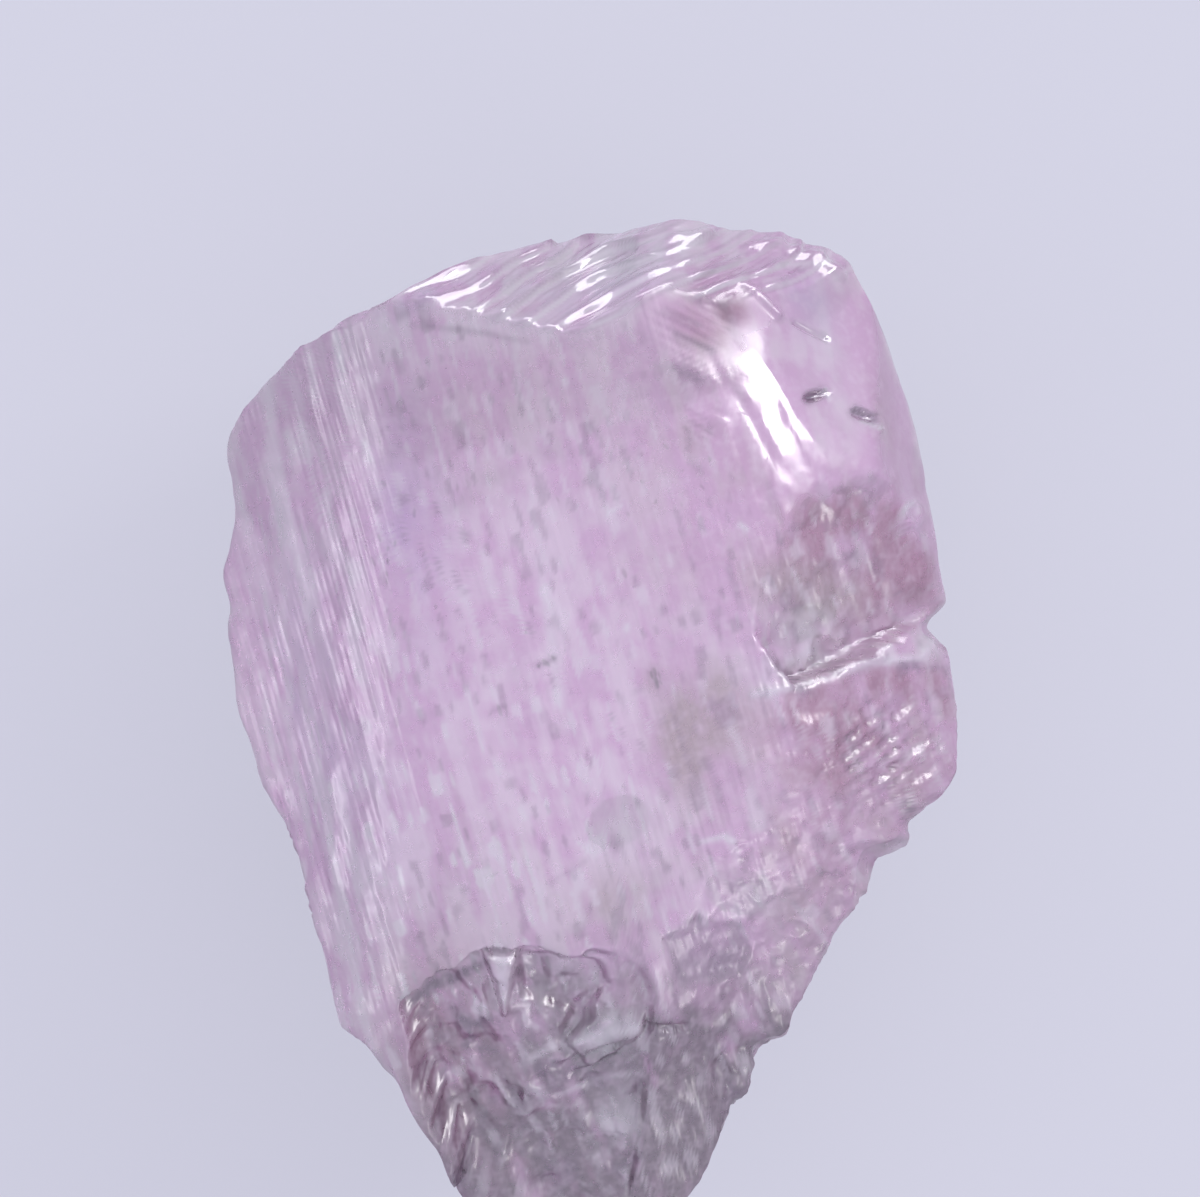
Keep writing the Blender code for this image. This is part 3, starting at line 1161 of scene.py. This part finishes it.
def skin_relief(points, masks):
    """What shows all over: a slight swell and a fine grain."""
    calm = 1.0 - 0.85 * masks["gloss"]
    return calm * (0.010 * cloud(points, 0.40, 2, 84) + 0.0050 * cloud(points, 0.11, 2, 85))


@functools.lru_cache(maxsize=1)
def crystal_shape():
    """The finished crystal: points in millimetres, faces, normals, and finish masks."""
    points, faces, base, shares = solid_surface()
    points = to_silhouette(fitted(points))
    normals = surface_normals(points, faces)
    masks = face_masks(points, shares)
    height = growth_lines(points, masks) + cap_steps(points, masks)
    height += gloss_relief(points, masks) + right_relief(points, masks)
    height += break_relief(points, masks) + back_relief(points, masks)
    height += skin_relief(points, masks)
    height *= 1.0 - masks["level"]
    points = fitted(points + normals * height[:, None])
    normals = surface_normals(points, faces)
    return points, faces, base, normals, masks


def ovals(points, places):
    """The sum of several soft ovals, each with its own strength."""
    return sum(power * spot(points, centre, size, turn) for centre, size, turn, power in places)


def over(colour, tint, share):
    """One colour laid over others by a share from 0 to 1."""
    share = np.clip(share, 0.0, 1.0)[:, None]
    return colour * (1.0 - share) + np.array(tint) * share


def body_colour(points, masks, settings):
    """The crystal's colour at each point: streaky milk in pink, then the tints by zone, with painted glints,
    highlights and shade laid over.
    """
    front = masks["front"]
    mottle = cloud(points, 0.13, 3, 103)
    streak = drawn(points, GROWTH_ANGLE, 0.045, 0.60, 104, 3)
    away = (1.0 - front) * (0.35 + 0.5 * cloud(points, 0.8, 2, 102))
    milk = ovals(points, MILK) * front + away + 0.12 + 1.40 * mottle + 1.30 * streak
    colour = over(np.tile(settings.pink[:3], (len(points), 1)), settings.pale[:3], milk)
    wander = 1.0 + 0.9 * cloud(points, 0.22, 3, 101) + 0.9 * mottle + 0.8 * streak
    for _, tint, places in TINTS:
        colour = over(colour, tint, ovals(points, places) * wander * front)
    # Painted highlight on the cap's step treads, and painted shade at their feet
    tread, foot = cap_bands(points)
    plain = front * (1.0 - masks["cap"]) * (1.0 - masks["gloss"])
    flecks = smooth_step(drawn(points, GROWTH_ANGLE, 0.026, 0.07, 105, 1), 0.35, 0.70)
    # Painted glints: pale short lines over the front, and softer ones on the striated side
    glints = smooth_step(drawn(points, GROWTH_ANGLE, 0.026, 0.10, 106, 1), 0.36, 0.66)
    glints = glints * plain * (0.45 + 0.55 * spot(points, (-0.55, -0.45), (0.65, 0.75)))
    soft = smooth_step(drawn(points, GROWTH_ANGLE - 3.0, 0.050, 0.28, 107, 1), 0.15, 0.65)
    glints = glints + 0.7 * soft * masks["side"] * plain
    blob = patch(points, SPLINTERS[-1][0], 0.02) * (0.75 + 0.5 * mottle)
    colour = over(colour, (0.36, 0.24, 0.35), blob * front)
    # Pale overlay: a pale line along the ledge, painted glints and pale streaks, painted highlight on the
    # cap's treads, and the painted glints of the front
    pale = 0.8 * stroke(points, LEDGE, 0.018) + strokes(points, GLINTS_AND_PALE_STREAKS)
    pale = pale * front + 0.85 * tread * masks["cap"] + 0.95 * glints
    # Painted highlight on the broken end's raised crests, the same crests as its relief
    crest_highlight = smooth_step(crests(cloud(points, 0.10, 2, 59)), 0.80, 0.98) * masks["end"]
    colour = over(colour, HIGHLIGHT_AND_PALE_COLOUR, pale + 0.30 * crest_highlight)
    # Painted shade in narrow hollows, grooves, pits, under edges and in the block's etched pits, with real
    # dark specks, dark flecks and dark patches on the broken end
    dark = strokes(points, SHADE_AND_SPECK_MARKS)
    dark = dark * (1.0 + 0.8 * mottle) + 0.45 * etched(points) + 0.38 * flecks * plain * (1.0 - masks["side"])
    dark = dark + 0.60 * smooth_step(cloud(points, 0.13, 3, 108), 0.12, 0.45) * masks["end"]
    return over(colour, SHADE_AND_FLECK_COLOUR, dark * front + 0.25 * foot * masks["cap"])


def finish_fields(points, masks):
    """How glossy (below 0 where rough) and how finely lined the crystal is at each point."""
    gloss = np.clip(masks["gloss"] + 0.9 * masks["cap"], 0.0, 1.0)
    crinkled = spot(points, (0.38, 1.66), (0.20, 0.12), -35.0)
    crinkled = np.maximum(crinkled, spot(points, (0.57, 1.70), (0.12, 0.08)))
    gloss = gloss * (1.0 - crinkled) - 3.2 * crinkled * (1.0 - masks["cap"])
    lined = masks["side"] + 0.5 * masks["front"] * (1.0 - masks["gloss"])
    return {"gloss": gloss, "lined": np.clip(lined, 0.0, 1.0) * (1.0 - gloss)}


def mesh_object(name, points, blocks, smooth=True):
    """A mesh from points in millimetres and blocks of faces with equal corner counts."""
    mesh = bpy.data.meshes.new(name)
    faces = [corners for block in blocks for corners in block.tolist()]
    mesh.from_pydata((points * MM).tolist(), [], faces)
    mesh.update()
    mesh.validate()
    if smooth:
        mesh.shade_smooth()
    piece = bpy.data.objects.new(name, mesh)
    bpy.context.scene.collection.objects.link(piece)
    return piece


def store(mesh, name, values):
    """Keeps one number for each point of a mesh, for its material to read."""
    attribute = mesh.attributes.new(name, "FLOAT", "POINT")
    attribute.data.foreach_set("value", values.astype(np.float32))


def store_colour(mesh, name, colours):
    """Keeps one colour for each point of a mesh."""
    attribute = mesh.attributes.new(name, "FLOAT_COLOR", "POINT")
    solid = np.column_stack([colours, np.ones(len(colours))])
    attribute.data.foreach_set("color", solid.astype(np.float32).ravel())


# Small things sealed in the crystal


def egg(columns, rows):
    """A closed ball of radius one: rings between two poles. Points and its faces."""
    around = np.linspace(0.0, math.tau, columns, endpoint=False)
    down = np.linspace(0.0, math.pi, rows + 1)[1:-1]
    rings = np.stack(
        [
            np.outer(np.sin(down), np.cos(around)),
            np.outer(np.sin(down), np.sin(around)),
            np.outer(np.cos(down), np.ones(columns)),
        ],
        axis=-1,
    ).reshape(-1, 3)
    points = np.vstack([(0, 0, 1), rings, (0, 0, -1)])
    loops = 1 + np.arange(len(rings)).reshape(-1, columns)
    after = np.roll(loops, -1, axis=1)
    sides = np.stack([loops[:-1], loops[1:], after[1:], after[:-1]], -1).reshape(-1, 4)
    top = np.stack([np.zeros(columns, int), loops[0], after[0]], axis=1)
    last = np.full(columns, len(points) - 1)
    bottom = np.stack([last, after[-1], loops[-1]], axis=1)
    return points, (sides, top, bottom)


def scattered(shape, blocks, centres, frames, sizes):
    """Copies of a small closed shape, each with its own place, turn and three sizes."""
    placed = np.einsum("pk,nk,nkj->npj", shape, sizes, frames) + centres[:, None, :]
    steps = np.arange(len(centres))[:, None, None] * len(shape)
    moved = [(block[None] + steps).reshape(-1, block.shape[1]) for block in blocks]
    return placed.reshape(-1, 3), moved


def under_front(places, depth):
    """Points this deep under the front at places in plan, and the front's normals there."""
    points, _, _, normals, _ = crystal_shape()
    facing = np.flatnonzero((normals[:, 2] > 0.15) & (points[:, 2] > 1.2))
    nearest = [
        facing[np.argmin(((points[facing, :2] - place) ** 2).sum(axis=1))] for place in places
    ]
    found = points[nearest]
    return found - normals[nearest] * depth[:, None], normals[nearest]


def frames_along(normals, turns):
    """Three axes for each piece: a long one in the surface, one across it, and the normal."""
    flat = np.stack([np.cos(turns), np.sin(turns), np.zeros_like(turns)], axis=1)
    across = unit(np.cross(normals, flat))
    along = np.cross(across, normals)
    return np.stack([along, across, normals], axis=1)


def speck_places(draw, count):
    """Where the specks lie: listed specks and clusters, then strays over the upper left front."""
    places = [np.array(SPECKS)]
    for centre, spread, number in SPECK_CLUSTERS:
        places.append(np.array(centre) + draw.normal(size=(number, 2)) * spread)
    strays = draw.uniform((-1.25, -1.60), (0.55, 1.65), size=(count, 2))
    places.append(strays)
    return np.vstack(places)


# Shader maths


def plug(tree, socket, value):
    """Joins a socket to a wire, or sets it to a plain value."""
    if isinstance(value, Wire):
        tree.links.new(value.socket, socket)
    else:
        socket.default_value = value


class Wire:
    """An output socket. Arithmetic on wires and numbers adds Math nodes."""

    def __init__(self, tree, socket):
        self.tree = tree
        self.socket = socket

    def join(self, operation, *values):
        node = self.tree.nodes.new("ShaderNodeMath")
        node.operation = operation
        for socket, value in zip(node.inputs, values):
            plug(self.tree, socket, value)
        return Wire(self.tree, node.outputs[0])

    def __add__(self, other):
        return self.join("ADD", self, other)

    def __radd__(self, other):
        return self.join("ADD", other, self)

    def __sub__(self, other):
        return self.join("SUBTRACT", self, other)

    def __rsub__(self, other):
        return self.join("SUBTRACT", other, self)

    def __mul__(self, other):
        return self.join("MULTIPLY", self, other)

    def __rmul__(self, other):
        return self.join("MULTIPLY", other, self)

    def __truediv__(self, other):
        return self.join("DIVIDE", self, other)


class Finish:
    """A material and its nodes, ending in one Principled shader."""

    def __init__(self, name):
        self.material = bpy.data.materials.new(name)
        self.material.use_nodes = True
        self.tree = self.material.node_tree
        self.tree.nodes.clear()

    def add(self, kind, settings=None, sockets=None, output=0):
        """Adds a node: its settings first, then the values or wires of its sockets."""
        node = self.tree.nodes.new(kind)
        for key, value in (settings or {}).items():
            setattr(node, key, value)
        for key, value in (sockets or {}).items():
            plug(self.tree, node.inputs[key], value)
        return Wire(self.tree, node.outputs[output])

    def millimetres(self):
        """Object coordinates in millimetres."""
        place = self.add("ShaderNodeTexCoord", output="Object")
        return self.add(
            "ShaderNodeVectorMath", {"operation": "SCALE"}, {0: place, "Scale": 1.0 / MM}
        )

    def field(self, name, output="Fac"):
        """A number or colour kept on the mesh's points."""
        return self.add(
            "ShaderNodeAttribute",
            {"attribute_type": "GEOMETRY", "attribute_name": name},
            output=output,
        )

    def noise(self, place, scale, detail=3.0, roughness=0.55, distortion=0.0):
        """Cloudy noise with this many cells a millimetre."""
        return self.add(
            "ShaderNodeTexNoise",
            None,
            {
                "Vector": place,
                "Scale": scale,
                "Detail": detail,
                "Roughness": roughness,
                "Distortion": distortion,
            },
        )

    def stretched(self, place, angle, scale):
        """Coordinates turned by degrees in plan and then scaled along each axis."""
        return self.add(
            "ShaderNodeMapping",
            {"vector_type": "TEXTURE"},
            {
                "Vector": place,
                "Rotation": (0.0, 0.0, math.radians(angle)),
                "Scale": scale,
            },
        )

    def blend(self, factor, first, second):
        """One colour over another by a factor."""
        return self.add(
            "ShaderNodeMix",
            {"data_type": "RGBA", "clamp_factor": True},
            {0: factor, 6: first, 7: second},
            output=2,
        )

    def shade(self, sockets, volume=None):
        """The Principled shader with these sockets, and what fills the inside."""
        surface = self.add("ShaderNodeBsdfPrincipled", None, sockets)
        end = self.tree.nodes.new("ShaderNodeOutputMaterial")
        self.tree.links.new(surface.socket, end.inputs["Surface"])
        if volume:
            self.tree.links.new(volume.socket, end.inputs["Volume"])
        return self.material


def crystal_finish(settings):
    """Milky pink diamond: tinted by zones, frosted or glossy by face, finely lined."""
    f = Finish("pink_diamond")
    place = f.millimetres()
    fine = f.noise(place, 24.0, 1.0, 0.6)
    hairs = f.noise(f.stretched(place, GROWTH_ANGLE, (0.40, 0.020, 0.40)), 1.0, 0.0)
    colour = f.blend((fine - 0.45) * 0.9, f.field("tint", "Color"), settings.pale)
    gloss = f.field("gloss")
    roughness = settings.frost + (fine - 0.5) * 0.20 - gloss * (settings.frost - 0.10)
    height = hairs * f.field("lined") * 0.005
    normal = f.add(
        "ShaderNodeBump",
        None,
        {"Strength": 1.0, "Distance": MM, "Height": height},
    )
    absorbing = f.add(
        "ShaderNodeVolumeAbsorption",
        None,
        {"Color": settings.absorbed, "Density": settings.density},
    )
    return f.shade(
        {
            "Base Color": colour,
            "Roughness": roughness,
            "IOR": DIAMOND_IOR,
            "Transmission Weight": settings.clearness,
            "Normal": normal,
        },
        absorbing,
    )


def speck_finish(settings):
    """Dark grey-violet mineral, dull and slightly mottled."""
    f = Finish("dark_speck")
    grey = f.noise(f.millimetres(), 40.0, 2.0)
    colour = f.blend(grey, settings.speck, settings.speck_light)
    return f.shade({"Base Color": colour, "Roughness": 0.45 + 0.25 * grey})


def feather_finish(settings):
    """A healed crack: a pale, silky, half-clear sheet."""
    f = Finish("pale_feather")
    cloudy = f.noise(f.millimetres(), 16.0, 4.0, 0.65)
    colour = f.blend(cloudy, settings.haze, settings.feather)
    return f.shade(
        {
            "Base Color": colour,
            "Roughness": 0.25 + 0.3 * cloudy,
            "Transmission Weight": 0.35,
            "IOR": 1.2,
        }
    )


def floor_finish(settings):
    """Plain pale matt board, lit a little from below like a light table."""
    f = Finish("pale_board")
    return f.shade(
        {
            "Base Color": settings.floor,
            "Roughness": 1.0,
            "Specular IOR Level": 0.0,
            "Emission Color": settings.glow,
            "Emission Strength": 1.0,
        }
    )


# Settings


def colour_property(name, description, colour):
    return FloatVectorProperty(
        name=name,
        description=description,
        default=(*colour, 1.0),
        subtype="COLOR",
        size=4,
        min=0.0,
        max=1.0,
    )


class CrystalSettings(bpy.types.PropertyGroup):
    """Colours and clearness of the crystal."""

    pink: colour_property("Pink", "The crystal's own colour", (0.83, 0.52, 0.77))
    pale: colour_property("Milky pink", "Colour where the front is milky", (0.98, 0.80, 0.93))
    absorbed: colour_property("Depth colour", "Colour that light takes on inside", (0.86, 0.50, 0.80))
    density: FloatProperty(
        name="Depth of colour",
        description="How fast light takes on the depth colour, per metre",
        default=180.0,
        min=0.0,
    )
    clearness: FloatProperty(
        name="Clearness",
        description="Share of the light that passes into the crystal",
        default=0.60,
        min=0.0,
        max=1.0,
        subtype="FACTOR",
    )
    frost: FloatProperty(
        name="Frost",
        description="Roughness of the frosted faces",
        default=0.30,
        min=0.0,
        max=1.0,
        subtype="FACTOR",
    )


class SealedSettings(bpy.types.PropertyGroup):
    """Specks and feathers sealed in the crystal."""

    speck: colour_property("Speck", "Dark side of the specks", (0.15, 0.08, 0.14))
    speck_light: colour_property("Speck light", "Light side of the specks", (0.34, 0.22, 0.32))
    haze: colour_property("Feather shade", "Darker tone of the feathers", (0.82, 0.70, 0.82))
    feather: colour_property("Feather", "Pale tone of the feathers", (0.95, 0.92, 0.97))
    strays: IntProperty(name="Stray specks", description="Specks outside the clusters", default=60, min=0)
    speck_size: FloatProperty(
        name="Speck size",
        description="Half the length of a usual speck",
        default=0.012 * MM,
        min=0.0,
        unit="LENGTH",
        precision=6,
    )


class StudioSettings(bpy.types.PropertyGroup):
    """Floor, lights and camera."""

    floor: colour_property("Floor", "Colour of the pale board", (0.22, 0.22, 0.236))
    glow: colour_property("Floor glow", "Light of the board itself", (0.422, 0.422, 0.500))
    world: colour_property("Surround", "Colour of the soft surround", (0.85, 0.85, 1.00))
    surround: FloatProperty(
        name="Surround strength", description="Brightness of the surround", default=1.0, min=0.0
    )
    lens: FloatProperty(
        name="Lens", description="Focal length in millimetres", default=500.0, min=50.0
    )
    view_width: FloatProperty(
        name="View width",
        description="Width of the picture at the stone's front",
        default=4.728 * MM,
        min=0.0,
        unit="LENGTH",
        precision=6,
    )


class GemSettings(bpy.types.PropertyGroup):
    """Everything that the sidebar shows."""

    crystal: PointerProperty(type=CrystalSettings)
    sealed: PointerProperty(type=SealedSettings)
    studio: PointerProperty(type=StudioSettings)


# Operators


class GEM_OT_crystal(bpy.types.Operator):
    """Make the finished crystal in place of the plain one"""

    bl_idname = "gem.crystal"
    bl_label = "Crystal"

    def execute(self, context):
        points, faces, base, _, masks = crystal_shape()
        stone = mesh_object("crystal", points, [*faces, base])
        stone.data.polygons[len(stone.data.polygons) - 1].use_smooth = False
        settings = context.scene.gem.crystal
        store_colour(stone.data, "tint", body_colour(points, masks, settings))
        for name, values in finish_fields(points, masks).items():
            store(stone.data, name, values)
        stone.data.materials.append(crystal_finish(settings))
        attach(stone, "root")
        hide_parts("rough_diamond")
        return {"FINISHED"}


class GEM_OT_specks(bpy.types.Operator):
    """Seal small dark specks just under the front"""

    bl_idname = "gem.specks"
    bl_label = "Specks"

    def execute(self, context):
        settings = context.scene.gem.sealed
        draw = np.random.default_rng(11)
        places = speck_places(draw, settings.strays)
        count = len(places)
        size = settings.speck_size / MM * draw.uniform(0.35, 1.0, count) ** 1.5
        size[: len(SPECKS)] = settings.speck_size / MM
        sizes = size[:, None] * np.stack(
            [draw.uniform(0.9, 2.4, count), draw.uniform(0.4, 0.8, count), np.full(count, 0.5)], 1
        )
        turns = math.radians(GROWTH_ANGLE) + draw.normal(size=count) * 0.4
        centres, normals = under_front(places, sizes[:, 2] * draw.uniform(1.6, 2.6, count))
        shape, blocks = egg(8, 5)
        points, faces = scattered(shape, blocks, centres, frames_along(normals, turns), sizes)
        specks = mesh_object("dark_specks", points, faces)
        specks.data.materials.append(speck_finish(settings))
        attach(specks, "root")
        return {"FINISHED"}


class GEM_OT_feathers(bpy.types.Operator):
    """Seal pale healed cracks inside the crystal"""

    bl_idname = "gem.feathers"
    bl_label = "Feathers"

    def execute(self, context):
        settings = context.scene.gem.sealed
        centres = []
        sizes = []
        frames = []
        for place, depth, size, turn, tilt in FEATHERS:
            centre, normal = under_front(np.array([place]), np.array([depth]))
            frame = frames_along(normal, np.array([math.radians(turn)]))[0]
            lean = Matrix.Rotation(math.radians(tilt), 3, Vector(frame[0]))
            centres.append(centre[0])
            sizes.append((*size, 0.006))
            frames.append(frame @ np.array(lean).T)
        shape, blocks = egg(28, 12)
        points, faces = scattered(
            shape, blocks, np.array(centres), np.array(frames), np.array(sizes)
        )
        points = points + 0.02 * np.stack(
            [cloud(points, 0.16, 2, 91 + axis) for axis in range(3)], axis=1
        )
        feathers = mesh_object("feathers", points, faces)
        feathers.data.materials.append(feather_finish(settings))
        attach(feathers, "root")
        return {"FINISHED"}


class GEM_OT_studio(bpy.types.Operator):
    """Set up the pale floor, the soft lights and the camera over the stone"""

    bl_idname = "gem.studio"
    bl_label = "Studio"

    def execute(self, context):
        settings = context.scene.gem.studio
        side = FLOOR_SIDE / 2
        corners = np.array([(-side, -side, 0), (side, -side, 0), (side, side, 0), (-side, side, 0)])
        floor = mesh_object("floor", corners / MM, [np.array([[0, 1, 2, 3]])], smooth=False)
        floor.data.materials.append(floor_finish(settings))

        world = bpy.data.worlds.new("surround")
        world.use_nodes = True
        sky = world.node_tree.nodes["Background"]
        sky.inputs["Color"].default_value = settings.world
        sky.inputs["Strength"].default_value = settings.surround
        context.scene.world = world

        for name, azimuth, elevation, distance, width, height, power, colour in SOFTBOXES:
            softbox(name, azimuth, elevation, distance, width, height, power, colour)

        lens = bpy.data.cameras.new("camera")
        lens.lens = settings.lens
        lens.clip_start = 0.0005
        distance = settings.view_width * settings.lens / lens.sensor_width
        camera = bpy.data.objects.new("camera", lens)
        camera.location = (VIEW_CENTRE[0] * MM, VIEW_CENTRE[1] * MM, VIEW_CENTRE[2] * MM + distance)
        context.scene.collection.objects.link(camera)
        context.scene.camera = camera

        context.scene.view_settings.view_transform = "Standard"
        context.scene.cycles.use_light_tree = False
        context.scene.cycles.max_bounces = 5
        context.scene.cycles.diffuse_bounces = 1
        context.scene.cycles.glossy_bounces = 2
        context.scene.cycles.transmission_bounces = 5
        return {"FINISHED"}


def softbox(name, azimuth, elevation, distance, width, height, power, colour):
    """A square soft light that faces the stone from this direction."""
    lamp = bpy.data.lights.new(name, "AREA")
    lamp.shape = "RECTANGLE"
    lamp.size = width
    lamp.size_y = height
    lamp.energy = power
    lamp.color = colour
    piece = bpy.data.objects.new(name, lamp)
    towards = Vector(direction(azimuth, elevation))
    piece.location = towards * distance
    piece.rotation_euler = towards.to_track_quat("Z", "Y").to_euler()
    bpy.context.scene.collection.objects.link(piece)


class GEM_PT_panel(bpy.types.Panel):
    """The rough diamond's settings and steps"""

    bl_idname = "GEM_PT_panel"
    bl_label = "Rough Diamond"
    bl_space_type = "VIEW_3D"
    bl_region_type = "UI"
    bl_category = "Gem"

    def draw(self, context):
        gem = context.scene.gem
        for group, steps in (
            (gem.crystal, ("gem.crystal",)),
            (gem.sealed, ("gem.specks", "gem.feathers")),
            (gem.studio, ("gem.studio",)),
        ):
            box = self.layout.box()
            for name in group.bl_rna.properties.keys():
                if name not in ("rna_type", "name"):
                    box.prop(group, name)
            for step in steps:
                box.operator(step)


CLASSES = (
    CrystalSettings,
    SealedSettings,
    StudioSettings,
    GemSettings,
    GEM_OT_crystal,
    GEM_OT_specks,
    GEM_OT_feathers,
    GEM_OT_studio,
    GEM_PT_panel,
)


def register():
    for item in CLASSES:
        bpy.utils.register_class(item)
    bpy.types.Scene.gem = PointerProperty(type=GemSettings)


def unregister():
    del bpy.types.Scene.gem
    for item in reversed(CLASSES):
        bpy.utils.unregister_class(item)


def main():
    """Makes every piece in order."""
    register()
    bpy.ops.gem.crystal()
    bpy.ops.gem.specks()
    bpy.ops.gem.feathers()
    bpy.ops.gem.studio()


if __name__ == "__main__":
    main()
